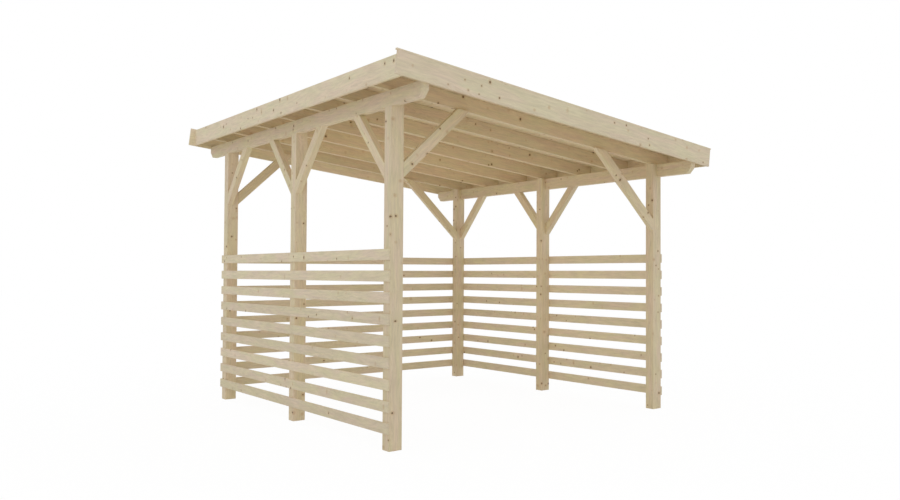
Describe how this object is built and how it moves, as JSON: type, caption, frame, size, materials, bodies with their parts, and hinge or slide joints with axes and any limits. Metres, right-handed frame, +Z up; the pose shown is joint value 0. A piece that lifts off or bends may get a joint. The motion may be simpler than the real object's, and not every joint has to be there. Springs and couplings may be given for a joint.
{
  "type": "carport",
  "caption": "Timber carport with a single sloped roof on posts with knee braces, open at the front, with slatted railings on the other sides.",
  "frame": {"origin": "on the ground at the middle of the grid of six posts, within 9 mm of the bottom centre of the bounding box", "axes": "+X across the carport towards the low side of the roof, +Y along its length from the open front to the back, +Z up"},
  "size_m": [3.6119, 5.046, 3.1597],
  "materials": {
    "post_timber": "planed spruce, untreated, matte",
    "beam_timber": "planed spruce, untreated, matte",
    "rafter_timber": "planed spruce, untreated, matte",
    "brace_timber": "planed spruce, untreated, matte",
    "fascia_board": "planed spruce board, untreated, matte",
    "roof_board": "planed spruce board, untreated, matte",
    "slat_timber": "planed spruce slat, untreated, matte"
  },
  "bodies": {
    "root": {"post_front_left": "post_timber", "post_middle_left": "post_timber", "post_back_left": "post_timber", "post_front_right": "post_timber", "post_middle_right": "post_timber", "post_back_right": "post_timber", "beam_left": "beam_timber", "beam_right": "beam_timber", "rafter_1": "rafter_timber", "rafter_2": "rafter_timber", "rafter_3": "rafter_timber", "rafter_4": "rafter_timber", "rafter_5": "rafter_timber", "rafter_6": "rafter_timber", "rafter_7": "rafter_timber", "brace_front_left_cross": "brace_timber", "brace_front_left_side": "brace_timber", "brace_middle_left_front": "brace_timber", "brace_middle_left_back": "brace_timber", "brace_back_left_cross": "brace_timber", "brace_back_left_side": "brace_timber", "brace_front_right_cross": "brace_timber", "brace_front_right_side": "brace_timber", "brace_middle_right_front": "brace_timber", "brace_middle_right_back": "brace_timber", "brace_back_right_cross": "brace_timber", "brace_back_right_side": "brace_timber", "fascia_front": "fascia_board", "fascia_back": "fascia_board", "fascia_left": "fascia_board", "fascia_right": "fascia_board", "roof_boards": "roof_board", "railing_left": "slat_timber", "railing_back": "slat_timber", "railing_right": "slat_timber"}
  },
  "joints": []
}
